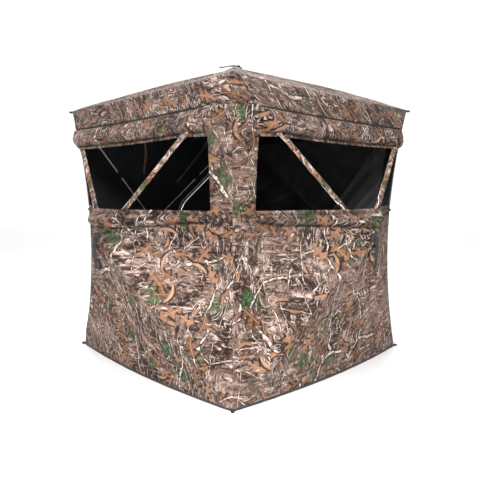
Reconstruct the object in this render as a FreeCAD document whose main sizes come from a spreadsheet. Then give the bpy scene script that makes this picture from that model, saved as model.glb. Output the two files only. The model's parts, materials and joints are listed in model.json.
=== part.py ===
"""Pop up ground blind: a square hub-style hide, a little wider at the eaves than at the ground.

Four walls and a roof are sewn into one shell.  A hub in the middle of each of the five panels stands
outwards, and four fibreglass poles run from it to the panel's corners, so the panel is a low pyramid.
Frame: origin on the ground at the middle of the floor square, +Z up, walls square to X and Y.
The front wall faces -Y and the right wall +X; both have their window open.  The left wall (-X) has
the zipped door beside the back corner.  Every panel is drawn as the front wall and turned about Z.
Lengths are millimetres, angles degrees.
"""
import FreeCAD, Part
import math
import os

from FreeCAD import Placement, Rotation, Vector

doc = FreeCAD.newDocument("ground_blind")
sheet = doc.addObject("Spreadsheet::Sheet", "Sizes")

SIZES = [
    ("base_side", 1500, "side of the floor square, corner to corner"),
    ("eave_side", 1550, "side of the square at the eaves"),
    ("eave_height", 1568, "ground to the top corners"),
    ("hub_height", 800, "ground to the wall hubs"),
    ("hub_bulge", 270, "how far each hub stands out of its panel's plane"),
    ("edge_pinch", 57, "how far a corner seam pulls in at hub height, along each wall"),
    ("hem_bow", 50, "how far the ground hem bows out at mid wall"),
    ("cloth", 2, "thickness of the sewn cloth with its coating and seams"),
    ("skirt_depth", 130, "eave to the seam between roof skirt and wall"),
    ("window_head", 1300, "ground to the top of the window"),
    ("window_sill", 952, "ground to the bottom of the window"),
    ("waist_height", 824, "ground to the seam between lower and upper wall"),
    ("post_width", 115, "corner seam to the edge of the corner post, along each wall"),
    ("window_edge", 22, "cloth left between the window and the far corner seam"),
    ("hub_hole", 30, "diameter of the hole in the cloth at a hub"),
    ("cap_dia", 48, "outer hub cap"),
    ("cap_rim", 5, "height of the cap's straight rim"),
    ("cap_crown", 4, "height of the cap's bevelled crown"),
    ("cap_drop", 2, "cap's underside below the panel's apex"),
    ("boss_dia", 20, "hub boss through the cloth"),
    ("core_dia", 76, "hub core"),
    ("core_thick", 28, "hub core, along its axis"),
    ("core_drop", 27, "core's outer face below the panel's apex"),
    ("pin_circle", 56, "diameter of the circle that the pole pins lie on"),
    ("pin_dia", 4, "pole pins"),
    ("pin_span", 30, "length of a pole pin"),
    ("pin_play", 0.05, "radial running clearance of a pole on its pin"),
    ("slot_side", 1.5, "clearance each side of a pole in its slot"),
    ("slot_root", 14, "hub axis to the inner end of a slot"),
    ("pole_dia", 10, "fibreglass pole"),
    ("pole_heel", 8, "pole past its pin, towards the hub axis"),
    ("ferrule_dia", 13, "joining ferrule at mid pole"),
    ("ferrule_span", 55, "length of the ferrule"),
    ("tip_dia", 13, "moulded tip at the corner end"),
    ("tip_gap", 88, "corner to the pole tip, along the ridge"),
    ("tip_drop", 15, "pole tip's centre below the ridge"),
    ("strap_width", 25, "pull strap webbing"),
    ("strap_thick", 2, "pull strap webbing"),
    ("strap_reach", 165, "bar to the end of the pull strap"),
    ("bar_dia", 5, "bar that the pull strap loops over"),
    ("bar_play", 0.4, "radial play of the strap's loop on the bar"),
    ("bar_rise", 6, "cap's top face to the bar's axis"),
    ("post_thick", 4, "cap's two bar posts"),
    ("door_offset", 64, "pole line to the door's edge, in the wall's plane"),
    ("door_round", 265, "radius of the door's corner beside the hub"),
    ("door_hinge", 640, "middle of the wall to the door's hinge line"),
    ("door_gap", 4, "gap round the door for the zipper teeth"),
    ("hinge_gap", 24, "gap at the hinge line, where the cloth folds"),
    ("surround_band", 36, "width of the cloth band round the door"),
    ("track_width", 24, "zipper tape"),
    ("track_thick", 2, "zipper tape with its teeth"),
    ("slider_along", 0.28, "slider's place on the upper leg, as a share of the leg"),
    ("slider_size", 18, "zipper slider, width and length"),
    ("slider_thick", 7, "zipper slider"),
    ("slider_play", 0.5, "slider to tape"),
    ("tab_reach", 34, "pull tab of the slider"),
    ("tab_thick", 3, "pull tab of the slider"),
    ("hem_tall", 12, "ground hem"),
    ("hem_thick", 6, "ground hem"),
    ("pocket_leg", 34, "webbing pocket in each corner"),
    ("pocket_inset", 6, "pocket behind the cloth"),
    ("loop_wide", 22, "tie loop at each corner, across"),
    ("loop_deep", 20, "tie loop, out from the corner"),
    ("loop_thick", 4, "tie loop webbing"),
]

for row, (alias, value, meaning) in enumerate(SIZES, start=1):
    sheet.set(f"A{row}", meaning)
    sheet.set(f"B{row}", str(value))
    sheet.setAlias(f"B{row}", alias)
doc.recompute()


def size(alias):
    """A driving dimension, read from the sheet."""
    return float(sheet.get(alias))


X_AXIS = Vector(1, 0, 0)
Y_AXIS = Vector(0, 1, 0)
Z_AXIS = Vector(0, 0, 1)
OUTWARD = Vector(0, -1, 0)
WALL_TURNS = {"front": 0, "right": 90, "back": 180, "left": 270}
PIECES = []


def keep(shape_object, label):
    """Name a finished piece: its Label is its file's name."""
    shape_object.Label = label
    PIECES.append(shape_object)
    return shape_object


def solid_feature(name, shape, placement=None):
    """A sewn or folded piece that no primitive fits, as a Part::Feature."""
    feature = doc.addObject("Part::Feature", name)
    feature.Shape = shape
    if placement is not None:
        feature.Placement = placement
    return feature


def bound(kind, name, placement=None, **expressions):
    """A Part primitive whose sizes are bound to the sheet."""
    item = doc.addObject(kind, name)
    for prop, expression in expressions.items():
        item.setExpression(prop, expression)
    if placement is not None:
        item.Placement = placement
    return item


def joined(name, items):
    fuse = doc.addObject("Part::MultiFuse", name)
    fuse.Shapes = items
    return fuse


def cut(name, base, tool):
    result = doc.addObject("Part::Cut", name)
    result.Base = base
    result.Tool = tool
    return result


# ---- the panels' lines -------------------------------------------------------------------------

def wall_lines():
    """Corner, seam and apex points of the front wall."""
    half_base = size("base_side") / 2
    half_eave = size("eave_side") / 2
    rise = size("hub_height") / size("eave_height")
    foot = half_base + (half_eave - half_base) * rise
    waist = foot - size("edge_pinch")
    tall = size("eave_height")
    mid = size("hub_height")
    return {
        "apex": Vector(0, -foot - size("hub_bulge"), mid),
        "top_left": Vector(-half_eave, -half_eave, tall),
        "top_right": Vector(half_eave, -half_eave, tall),
        "mid_left": Vector(-waist, -waist, mid),
        "mid_right": Vector(waist, -waist, mid),
        "low_left": Vector(-half_base, -half_base, 0),
        "low_right": Vector(half_base, -half_base, 0),
        "hem": Vector(0, -half_base - size("hem_bow"), 0),
    }


LINES = wall_lines()
FACETS = [
    ("top_left", "top_right"),
    ("top_right", "mid_right"),
    ("mid_right", "low_right"),
    ("low_right", "hem"),
    ("hem", "low_left"),
    ("low_left", "mid_left"),
    ("mid_left", "top_left"),
]
ROOF_APEX = Vector(0, 0, size("eave_height") + size("hub_bulge"))
FAR = 4 * size("eave_side")


def turned(wall):
    """Placement that turns the front wall's place into another wall's."""
    return Placement(Vector(0, 0, 0), Rotation(Z_AXIS, WALL_TURNS[wall]))


def triangle_prism(a, b, c, push):
    return Part.Face(Part.makePolygon([a, b, c, a])).extrude(push)


def cloth_skin(start, thick):
    """The front wall's cloth: facets between the ridges, from start to start + thick behind the face."""
    shift = OUTWARD * -start
    push = OUTWARD * -thick
    prisms = [
        triangle_prism(LINES["apex"] + shift, LINES[a] + shift, LINES[b] + shift, push) for a, b in FACETS
    ]
    skin = prisms[0].multiFuse(prisms[1:])
    mitre = Part.Face(
        Part.makePolygon([Vector(0, 0, 0), Vector(-FAR, -FAR, 0), Vector(FAR, -FAR, 0), Vector(0, 0, 0)])
    ).extrude(Z_AXIS * FAR)
    hole = Part.makeCylinder(size("hub_hole") / 2, FAR, Vector(0, 0, size("hub_height")), OUTWARD)
    return skin.common(mitre).cut(hole)


def slab(low_x, high_x, low_z, high_z):
    """Everything in front of the middle plane between these bounds."""
    return Part.makeBox(high_x - low_x, FAR, high_z - low_z, Vector(low_x, -FAR, low_z))


def whole(shape):
    """One clean solid from a fused or cut shape."""
    clean = shape.removeSplitter()
    return clean.Solids[0] if len(clean.Solids) == 1 else clean


# ---- the door's outlines -----------------------------------------------------------------------

def pole_line_offset(corner, offset):
    """Line in X and Z beside a pole, offset into the left side triangle: a point and a direction."""
    along = Vector(LINES[corner].x, 0, LINES[corner].z - size("hub_height"))
    along.normalize()
    side = Vector(-abs(along.z), 0, -math.copysign(1, along.z) * abs(along.x))
    return Vector(0, 0, size("hub_height")) + side * offset, along


def meet(point_a, along_a, point_b, along_b):
    """Where two lines in X and Z cross."""
    gap = point_b - point_a
    turn = along_a.x * along_b.z - along_a.z * along_b.x
    share = (gap.x * along_b.z - gap.z * along_b.x) / turn
    return point_a + along_a * share


def door_corners(offset, hinge):
    """Nose beside the hub, upper and lower corner on the hinge line, in X and Z."""
    upper = pole_line_offset("top_left", offset)
    lower = pole_line_offset("low_left", offset)
    line = (Vector(-hinge, 0, 0), Z_AXIS)
    return meet(*upper, *lower), meet(*upper, *line), meet(*lower, *line)


def door_block(offset, hinge, round_off):
    """Prism over a door outline: a triangle with a rounded nose, right through the wall."""
    nose, upper, lower = door_corners(offset, hinge)
    block = Part.Face(Part.makePolygon([nose, upper, lower, nose])).extrude(OUTWARD * FAR)
    edges = [
        edge
        for edge in block.Edges
        if all(abs(v.X - nose.x) < 0.01 and abs(v.Z - nose.z) < 0.01 for v in edge.Vertexes)
    ]
    return block.makeFillet(round_off, edges)


def hinge_line():
    """Hinge's distance from the wall's middle, short enough to keep the band below the roof skirt."""
    start, along = pole_line_offset("top_left", size("door_offset") - size("surround_band"))
    top = size("eave_height") - size("skirt_depth") - size("door_gap")
    reach = abs(start.x + along.x * (top - start.z) / along.z)
    return min(size("door_hinge"), reach - size("surround_band"))


HINGE = hinge_line()
DOOR_OUTER = door_block(
    size("door_offset") - size("surround_band"),
    HINGE + size("surround_band"),
    size("door_round") + size("surround_band"),
)
DOOR_HOLE = door_block(size("door_offset"), HINGE, size("door_round"))
DOOR_LEAF = door_block(
    size("door_offset") + size("door_gap"),
    HINGE - size("hinge_gap"),
    size("door_round") - size("door_gap"),
)


# ---- cloth -------------------------------------------------------------------------------------

SKIN = cloth_skin(0, size("cloth"))
SEAM = size("eave_height") - size("skirt_depth")
WAIST = size("waist_height")
HEM_TOP = size("hem_tall")


def lower_panel(wall):
    """Wall cloth from the ground hem to the waist seam."""
    panel = SKIN.common(slab(-FAR, FAR, HEM_TOP, WAIST))
    if wall == "left":
        panel = panel.cut(DOOR_OUTER)
    keep(solid_feature(f"{wall}_lower", whole(panel), turned(wall)), f"{wall}_lower_panel")


def closed_upper_panel(wall):
    """Wall cloth from the waist seam to the skirt seam where the window is shut."""
    panel = SKIN.common(slab(-FAR, FAR, WAIST, SEAM))
    if wall == "left":
        panel = panel.cut(DOOR_OUTER)
    keep(solid_feature(f"{wall}_upper", whole(panel), turned(wall)), f"{wall}_upper_panel")


SIDE_SEAMS = {1: ("top_right", "mid_right", "low_right"), -1: ("top_left", "mid_left", "low_left")}


def beside_seam(side, reach):
    """Everything in front of the middle plane between a corner seam and a line that far from it."""
    seam = [Vector(LINES[name].x - side * reach, 0, LINES[name].z) for name in SIDE_SEAMS[side]]
    beyond = Vector(side * FAR, 0, 0)
    outline = [*seam, seam[-1] + beyond, seam[0] + beyond, seam[0]]
    return Part.Face(Part.makePolygon(outline)).extrude(OUTWARD * FAR)


def window_bands(wall, post_side):
    """Header and sill bands above and below an open window; post_side is the corner post's side.
    The header carries the narrow strip of cloth down the far corner seam."""
    post = beside_seam(post_side, size("post_width"))
    sill = SKIN.common(slab(-FAR, FAR, WAIST, size("window_sill"))).cut(post)
    keep(solid_feature(f"{wall}_sill", whole(sill), turned(wall)), f"{wall}_window_sill")
    header = SKIN.common(slab(-FAR, FAR, size("window_head"), SEAM)).cut(post)
    strip = SKIN.common(slab(-FAR, FAR, size("window_sill"), size("window_head")))
    strip = strip.common(beside_seam(-post_side, size("window_edge")))
    keep(solid_feature(f"{wall}_header", whole(header.fuse(strip)), turned(wall)), f"{wall}_window_header")


def corner_post():
    """One folded strip up the corner between the two open windows."""
    band = SKIN.common(slab(-FAR, FAR, WAIST, SEAM))
    front = band.common(beside_seam(1, size("post_width")))
    right = band.common(beside_seam(-1, size("post_width")))
    right.rotate(Vector(0, 0, 0), Z_AXIS, WALL_TURNS["right"])
    keep(solid_feature("post", whole(front.fuse(right))), "corner_post")


def roof_and_skirt():
    """Roof cloth over the eaves, and the skirt that hangs from it, a strip to each wall."""
    corners = [Rotation(Z_AXIS, turn).multVec(LINES["top_right"]) for turn in WALL_TURNS.values()]
    drop = Z_AXIS * -size("cloth")
    prisms = [
        triangle_prism(ROOF_APEX, corners[i], corners[(i + 1) % 4], drop) for i in range(4)
    ]
    hole = Part.makeCylinder(size("hub_hole") / 2, FAR, Vector(0, 0, size("hub_height")))
    roof = whole(prisms[0].multiFuse(prisms[1:]).cut(hole))
    keep(solid_feature("roof", roof), "roof_panel")
    strip = SKIN.common(slab(-FAR, FAR, SEAM, FAR)).cut(roof)
    strips = []
    for turn in WALL_TURNS.values():
        piece = whole(strip.copy())
        piece.rotate(Vector(0, 0, 0), Z_AXIS, turn)
        strips.append(piece)
    keep(solid_feature("skirt", Part.makeCompound(strips)), "roof_skirt")


def ground_hem():
    """Rolled hem on the ground, a bowed strip to each wall."""
    thick = size("hem_thick")
    outer = [LINES["low_left"], LINES["hem"], LINES["low_right"]]
    strips = []
    for first, second in ((0, 1), (1, 2)):
        a, b = outer[first], outer[second]
        shift = Vector(0, thick, 0)
        base = Part.Face(Part.makePolygon([a, b, b + shift, a + shift, a]))
        strips.append(base.extrude(Z_AXIS * size("hem_tall")))
    mitre = Part.Face(
        Part.makePolygon([Vector(0, 0, 0), Vector(-FAR, -FAR, 0), Vector(FAR, -FAR, 0), Vector(0, 0, 0)])
    ).extrude(Z_AXIS * FAR)
    strip = whole(strips[0].fuse(strips[1]).common(mitre))
    turned_strips = []
    for turn in WALL_TURNS.values():
        piece = strip.copy()
        piece.rotate(Vector(0, 0, 0), Z_AXIS, turn)
        turned_strips.append(piece)
    keep(solid_feature("hem", Part.makeCompound(turned_strips)), "ground_hem")


def door_pieces():
    """Door leaf, the cloth band round it, the zipper tape behind the band and the slider on it."""
    band = SKIN.common(DOOR_OUTER).cut(DOOR_HOLE)
    keep(solid_feature("surround", whole(band), turned("left")), "door_surround")
    leaf = SKIN.common(DOOR_LEAF)
    keep(solid_feature("leaf", whole(leaf), turned("left")), "door_panel")
    behind = cloth_skin(size("cloth"), size("track_thick"))
    tape_outer = door_block(
        size("door_offset") - size("track_width"),
        HINGE - size("hinge_gap"),
        size("door_round") + size("track_width"),
    )
    tape = behind.common(tape_outer).cut(DOOR_HOLE)
    keep(solid_feature("tape", whole(tape), turned("left")), "zipper_track")


def slider_frame():
    """Placement of the slider in the front wall's place: X along the upper leg, Z out of the cloth."""
    offset = size("door_offset") - size("track_width") / 2
    nose, upper, _ = door_corners(offset, HINGE)
    start = nose + (upper - nose) * size("slider_along")
    ridge = LINES["top_left"] - LINES["apex"]
    ridge.normalize()
    normal = (LINES["top_left"] - LINES["apex"]).cross(LINES["mid_left"] - LINES["apex"])
    normal.normalize()
    if normal.y > 0:
        normal = normal * -1
    depth = (LINES["apex"] - start).dot(normal) / OUTWARD.dot(normal)
    on_face = start + OUTWARD * depth
    behind = size("cloth") + size("track_thick")
    across = normal.cross(ridge)
    turn = Rotation(ridge, across, normal, "ZXY")
    return on_face + OUTWARD * -behind - normal * size("slider_play"), turn


def zipper_slider():
    """Slider body on the inside of the tape, with its pull tab."""
    place, turn = slider_frame()
    body = bound(
        "Part::Box", "slider_body", None,
        Length="Sizes.slider_size", Width="Sizes.slider_size", Height="Sizes.slider_thick",
    )
    half = size("slider_size") / 2
    body.Placement = Placement(Vector(-half, -half, -size("slider_thick")), Rotation())
    tab = bound(
        "Part::Box", "slider_tab", None,
        Length="Sizes.tab_reach", Width="Sizes.slider_size / 2", Height="Sizes.tab_thick",
    )
    tab_start = Vector(-half - size("tab_reach") / 2, -half / 2, -size("slider_thick"))
    tab.Placement = Placement(tab_start, Rotation())
    slider = joined("slider", [body, tab])
    slider.Placement = turned("left").multiply(Placement(place, turn))
    keep(slider, "zipper_slider")


# ---- hubs and poles ----------------------------------------------------------------------------

def hub_place(panel):
    """Placement of a hub: Z out of the panel, Y up the wall (or towards the back on the roof)."""
    if panel == "roof":
        return Placement(ROOF_APEX, Rotation())
    return turned(panel).multiply(Placement(LINES["apex"], Rotation(X_AXIS, 90)))


def hub_corners(panel):
    """Name, azimuth about the hub's axis, reach and fall to the corner, for each of the four poles."""
    if panel == "roof":
        reach = math.hypot(LINES["top_right"].x, LINES["top_right"].y)
        names = ("back_right", "back_left", "front_left", "front_right")
        return [(name, 45 + 90 * i, reach, size("hub_bulge")) for i, name in enumerate(names)]
    found = []
    names = {
        "upper_right": "top_right", "upper_left": "top_left",
        "lower_left": "low_left", "lower_right": "low_right",
    }
    for name, corner in names.items():
        gap = LINES[corner] - LINES["apex"]
        azimuth = math.degrees(math.atan2(gap.z, gap.x))
        found.append((name, azimuth, math.hypot(gap.x, gap.z), gap.y))
    return found


def pin_drop():
    """Pole pins below the panel's apex, at the middle of the hub core."""
    return size("core_drop") + size("core_thick") / 2


def tip_target(reach, fall):
    """Pole tip from the apex: out along the panel and down, short of the corner and under the ridge."""
    ridge = math.hypot(reach, fall)
    share = 1 - size("tip_gap") / ridge
    return reach * share, fall * share + size("tip_drop")


def pole_span(reach, fall):
    """Pin to tip, and the pole's dip below the hub's plane."""
    out, down = tip_target(reach, fall)
    out -= size("pin_circle") / 2
    down -= pin_drop()
    return math.hypot(out, down), math.degrees(math.atan2(down, out))


POLE_LENGTH = min(
    pole_span(reach, fall)[0] for panel in ("front", "roof") for _, _, reach, fall in hub_corners(panel)
)


def pole(panel, name, azimuth, dip):
    """Fibreglass pole with a ferrule at its middle, a moulded tip, and a cross bore for its pin."""
    tag = f"{panel}_{name}"
    along = Rotation(Y_AXIS, 90)
    rod = bound(
        "Part::Cylinder", f"rod_{tag}", Placement(Vector(-size("pole_heel"), 0, 0), along),
        Radius="Sizes.pole_dia / 2",
    )
    rod.Height = POLE_LENGTH + size("pole_heel") - size("tip_dia") / 2
    middle = POLE_LENGTH / 2 - size("ferrule_span") / 2
    ferrule = bound(
        "Part::Cylinder", f"ferrule_{tag}", Placement(Vector(middle, 0, 0), along),
        Radius="Sizes.ferrule_dia / 2", Height="Sizes.ferrule_span",
    )
    tip = bound(
        "Part::Sphere", f"tip_{tag}", Placement(Vector(POLE_LENGTH - size("tip_dia") / 2, 0, 0), Rotation()),
        Radius="Sizes.tip_dia / 2",
    )
    bore = bound(
        "Part::Cylinder", f"bore_{tag}", Placement(Vector(0, size("pole_dia"), 0), Rotation(X_AXIS, 90)),
        Radius="Sizes.pin_dia / 2 + Sizes.pin_play", Height="2 * Sizes.pole_dia",
    )
    body = cut(f"pole_{tag}", joined(f"stock_{tag}", [rod, ferrule, tip]), bore)
    turn = Rotation(Z_AXIS, azimuth).multiply(Rotation(Y_AXIS, dip))
    seat = Rotation(Z_AXIS, azimuth).multVec(Vector(size("pin_circle") / 2, 0, -pin_drop()))
    body.Placement = hub_place(panel).multiply(Placement(seat, turn))
    keep(body, f"{panel}_pole_{name}")


def hub(panel):
    """Moulded hub core with four pole slots, its pins, its outer cap and the pull strap on the cap."""
    place = hub_place(panel)
    low = -size("core_drop") - size("core_thick")
    core = bound(
        "Part::Cylinder", f"core_{panel}", Placement(Vector(0, 0, low), Rotation()),
        Radius="Sizes.core_dia / 2", Height="Sizes.core_thick",
    )
    boss = bound(
        "Part::Cylinder", f"boss_{panel}", Placement(Vector(0, 0, low), Rotation()),
        Radius="Sizes.boss_dia / 2", Height="Sizes.core_thick + Sizes.core_drop - Sizes.cap_drop",
    )
    tools = []
    pins = []
    for name, azimuth, _, _ in hub_corners(panel):
        spin = Rotation(Z_AXIS, azimuth)
        wide = size("pole_dia") + 2 * size("slot_side")
        corner = spin.multVec(Vector(size("slot_root"), -wide / 2, low - 1))
        tools.append(bound(
            "Part::Box", f"slot_{panel}_{name}", Placement(corner, spin),
            Length="Sizes.core_dia", Width="Sizes.pole_dia + 2 * Sizes.slot_side",
            Height="Sizes.core_thick + 2",
        ))
        seat = spin.multVec(Vector(size("pin_circle") / 2, size("pin_span") / 2, -pin_drop()))
        across = Placement(seat, spin.multiply(Rotation(X_AXIS, 90)))
        tools.append(bound(
            "Part::Cylinder", f"seat_{panel}_{name}", across,
            Radius="Sizes.pin_dia / 2", Height="Sizes.pin_span",
        ))
        pins.append(bound(
            "Part::Cylinder", f"pin_{panel}_{name}", across,
            Radius="Sizes.pin_dia / 2", Height="Sizes.pin_span",
        ))
    body = cut(f"hub_{panel}", joined(f"hubstock_{panel}", [core, boss]), joined(f"hubtools_{panel}", tools))
    body.Placement = place
    keep(body, f"{panel}_hub")
    pin_set = doc.addObject("Part::Compound", f"pinset_{panel}")
    pin_set.Links = pins
    pin_set.Placement = place
    keep(pin_set, f"{panel}_hub_pins")


def cap_top():
    """Cap's top face above the panel's apex."""
    return size("cap_rim") + size("cap_crown") - size("cap_drop")


def hub_cap(panel):
    """Cap that clamps the cloth onto the hub, with two posts and the strap's bar."""
    rim = bound(
        "Part::Cylinder", f"rim_{panel}", Placement(Vector(0, 0, -size("cap_drop")), Rotation()),
        Radius="Sizes.cap_dia / 2", Height="Sizes.cap_rim",
    )
    crown = bound(
        "Part::Cone", f"crown_{panel}",
        Placement(Vector(0, 0, size("cap_rim") - size("cap_drop")), Rotation()),
        Radius1="Sizes.cap_dia / 2", Radius2="Sizes.cap_dia / 2 - Sizes.cap_crown", Height="Sizes.cap_crown",
    )
    inside = size("strap_width") / 2 + size("bar_play")
    bar_axis = cap_top() + size("bar_rise")
    posts = []
    for side in (-1, 1):
        left = inside if side > 0 else -inside - size("post_thick")
        posts.append(bound(
            "Part::Box", f"post_{panel}_{side + 1}",
            Placement(Vector(left, -size("bar_dia") / 2, cap_top() - 1), Rotation()),
            Length="Sizes.post_thick", Width="Sizes.bar_dia",
            Height="1 + Sizes.bar_rise + Sizes.bar_dia / 2",
        ))
    bar = bound(
        "Part::Cylinder", f"bar_{panel}",
        Placement(Vector(-inside - 1, 0, bar_axis), Rotation(Y_AXIS, 90)),
        Radius="Sizes.bar_dia / 2", Height="Sizes.strap_width + 2 * Sizes.bar_play + 2",
    )
    cap = joined(f"cap_{panel}", [rim, crown, *posts, bar])
    cap.Placement = hub_place(panel)
    keep(cap, f"{panel}_hub_cap")


STRAP_DIP = {"front": 0, "right": 0, "back": 0, "left": 0, "roof": 11}


def pull_strap(panel):
    """Webbing strap looped over the cap's bar; it hangs down a wall and lies down the roof's slope."""
    loop = bound(
        "Part::Cylinder", f"loop_{panel}",
        Placement(Vector(-size("strap_width") / 2, 0, 0), Rotation(Y_AXIS, 90)),
        Radius="Sizes.bar_dia / 2 + Sizes.bar_play + Sizes.strap_thick", Height="Sizes.strap_width",
    )
    tail = bound(
        "Part::Box", f"tail_{panel}",
        Placement(
            Vector(-size("strap_width") / 2, -size("strap_reach"), -size("strap_thick") / 2), Rotation()
        ),
        Length="Sizes.strap_width", Width="Sizes.strap_reach", Height="Sizes.strap_thick",
    )
    eye = bound(
        "Part::Cylinder", f"eye_{panel}",
        Placement(Vector(-size("strap_width"), 0, 0), Rotation(Y_AXIS, 90)),
        Radius="Sizes.bar_dia / 2 + Sizes.bar_play", Height="2 * Sizes.strap_width",
    )
    strap = cut(f"strap_{panel}", joined(f"strapstock_{panel}", [loop, tail]), eye)
    bar = Placement(Vector(0, 0, cap_top() + size("bar_rise")), Rotation(X_AXIS, STRAP_DIP[panel]))
    strap.Placement = hub_place(panel).multiply(bar)
    keep(strap, f"{panel}_pull_strap")


# ---- corner webbing ----------------------------------------------------------------------------

def corner_pockets():
    """Webbing pocket in each of the eight corners, a small three-sided wedge behind the cloth."""
    leg = size("pocket_leg")
    inset = size("pocket_inset") + size("cloth")
    made = []
    for corner, up in (("top_right", -1), ("low_right", 1)):
        tip = LINES[corner] + Vector(-inset, inset, up * inset)
        if corner == "top_right":
            tip = tip + Vector(-inset, inset, 0)
        ends = [tip + Vector(-leg, 0, 0), tip + Vector(0, leg, 0), tip + Vector(0, 0, up * leg)]
        faces = [
            Part.Face(Part.makePolygon([tip, ends[0], ends[1], tip])),
            Part.Face(Part.makePolygon([tip, ends[1], ends[2], tip])),
            Part.Face(Part.makePolygon([tip, ends[2], ends[0], tip])),
            Part.Face(Part.makePolygon([*ends, ends[0]])),
        ]
        wedge = Part.Solid(Part.Shell(faces))
        if wedge.Volume < 0:
            wedge.reverse()
        for turn in WALL_TURNS.values():
            piece = wedge.copy()
            piece.rotate(Vector(0, 0, 0), Z_AXIS, turn)
            made.append(piece)
    keep(solid_feature("pockets", Part.makeCompound(made)), "corner_pockets")


def tie_loops():
    """Webbing loop outside each corner: guy loops at the eaves, stake loops at the ground.
    Its two ends run back to the cloth and stop on it."""
    wide = size("loop_wide")
    deep = size("loop_deep")
    thick = size("loop_thick")
    backing = cloth_skin(0, 2 * wide)
    side_backing = backing.copy()
    side_backing.rotate(Vector(0, 0, 0), Z_AXIS, WALL_TURNS["right"])
    made = []
    for corner, low in (("top_right", -2 * thick), ("low_right", 0)):
        ring = Part.makeBox(wide, deep + wide / 2, thick, Vector(-wide / 2, -deep, 0))
        eye = Part.makeBox(wide - 2 * thick, deep + wide, thick, Vector(thick - wide / 2, thick - deep, 0))
        ring = ring.cut(eye)
        ring.rotate(Vector(0, 0, 0), Z_AXIS, 45)
        ring.translate(LINES[corner] + Vector(0, 0, low))
        ring = ring.cut(backing).cut(side_backing)
        for turn in WALL_TURNS.values():
            piece = ring.copy()
            piece.rotate(Vector(0, 0, 0), Z_AXIS, turn)
            made.append(piece)
    keep(solid_feature("loops", Part.makeCompound(made)), "tie_loops")


# ---- the whole blind ---------------------------------------------------------------------------

for wall_name in WALL_TURNS:
    lower_panel(wall_name)
window_bands("front", 1)
window_bands("right", -1)
closed_upper_panel("back")
closed_upper_panel("left")
corner_post()
roof_and_skirt()
ground_hem()
door_pieces()
zipper_slider()
for panel_name in [*WALL_TURNS, "roof"]:
    hub(panel_name)
    hub_cap(panel_name)
    pull_strap(panel_name)
    for pole_name, pole_azimuth, pole_reach, pole_fall in hub_corners(panel_name):
        pole(panel_name, pole_name, pole_azimuth, pole_span(pole_reach, pole_fall)[1])
corner_pockets()
tie_loops()
doc.recompute()

for item in doc.Objects:
    if {"Invalid", "Error"} & set(item.State):
        raise RuntimeError(f"{item.Name} did not recompute: {item.State}")
for piece in PIECES:
    if piece.Shape.isNull() or not piece.Shape.isValid():
        raise RuntimeError(f"{piece.Label} has no valid shape")
    if not piece.Shape.Solids:
        raise RuntimeError(f"{piece.Label} has no solid")

os.makedirs("parts", exist_ok=True)
for piece in PIECES:
    piece.Shape.exportStep(os.path.join("parts", f"{piece.Label}.step"))
print(len(PIECES), "pieces, pole length", round(POLE_LENGTH, 1))
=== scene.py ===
import json
import math

import bmesh
import bpy
from mathutils import Matrix, Vector, noise


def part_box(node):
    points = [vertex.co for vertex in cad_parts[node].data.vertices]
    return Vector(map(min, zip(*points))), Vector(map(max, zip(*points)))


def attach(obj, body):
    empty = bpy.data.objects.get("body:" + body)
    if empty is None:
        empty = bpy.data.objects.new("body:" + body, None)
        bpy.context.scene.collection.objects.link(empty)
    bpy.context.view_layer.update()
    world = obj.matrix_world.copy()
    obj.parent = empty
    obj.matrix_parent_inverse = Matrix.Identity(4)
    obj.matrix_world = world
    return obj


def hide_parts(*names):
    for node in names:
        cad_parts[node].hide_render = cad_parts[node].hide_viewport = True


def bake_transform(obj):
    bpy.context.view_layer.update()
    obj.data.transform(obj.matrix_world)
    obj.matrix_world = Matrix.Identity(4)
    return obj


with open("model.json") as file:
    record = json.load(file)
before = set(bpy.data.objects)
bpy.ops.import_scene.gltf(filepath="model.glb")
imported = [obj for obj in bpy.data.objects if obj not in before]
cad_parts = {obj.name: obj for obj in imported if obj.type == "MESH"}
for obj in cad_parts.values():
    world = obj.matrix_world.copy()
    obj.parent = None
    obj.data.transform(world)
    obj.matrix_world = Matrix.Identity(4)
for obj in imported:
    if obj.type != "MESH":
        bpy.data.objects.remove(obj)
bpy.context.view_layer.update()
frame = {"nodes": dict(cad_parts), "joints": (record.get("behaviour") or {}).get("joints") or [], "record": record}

# ---- Studio ------------------------------------------------------------------------------------
# A camera at chest height in front of the corner post, a pale floor, and soft light: a broad lamp over
# the camera, a low one beside it, one overhead, a far one for the floor behind, and a dim surround.

EYE = Vector((2.451, -2.327, 1.051))
LOOK_TURN = math.radians(46.3)
LOOK_FALL = math.radians(5.61)
LAMP_AIM = Vector((0, 0, 0.8))
FLOOR_GREY = (0.9, 0.9, 0.9, 1)

camera_data = bpy.data.cameras.new("camera")
camera_data.lens = 37.95
camera_data.sensor_width = 36
camera = bpy.data.objects.new("camera", camera_data)
camera.location = EYE
look = Vector((-math.sin(LOOK_TURN), math.cos(LOOK_TURN), 0)) * math.cos(LOOK_FALL)
look.z = -math.sin(LOOK_FALL)
camera.rotation_euler = look.to_track_quat("-Z", "Y").to_euler()
bpy.context.collection.objects.link(camera)
bpy.context.scene.camera = camera


def soft_lamp(name, place, width, power):
    """A square area lamp that faces the middle of the blind."""
    lamp = bpy.data.lights.new(name, "AREA")
    lamp.size = width
    lamp.energy = power
    holder = bpy.data.objects.new(name, lamp)
    holder.location = place
    holder.rotation_euler = (LAMP_AIM - Vector(place)).to_track_quat("-Z", "Y").to_euler()
    bpy.context.collection.objects.link(holder)


soft_lamp("front_lamp", (2.85, -3.1, 3.4), 1.5, 322)
soft_lamp("low_lamp", (3.1, -3.0, 1.15), 0.9, 30)
soft_lamp("top_lamp", (0.6, -0.8, 5.2), 2.2, 170)
soft_lamp("back_lamp", (-30.0, 31.0, 22.0), 20.0, 19000)

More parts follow.
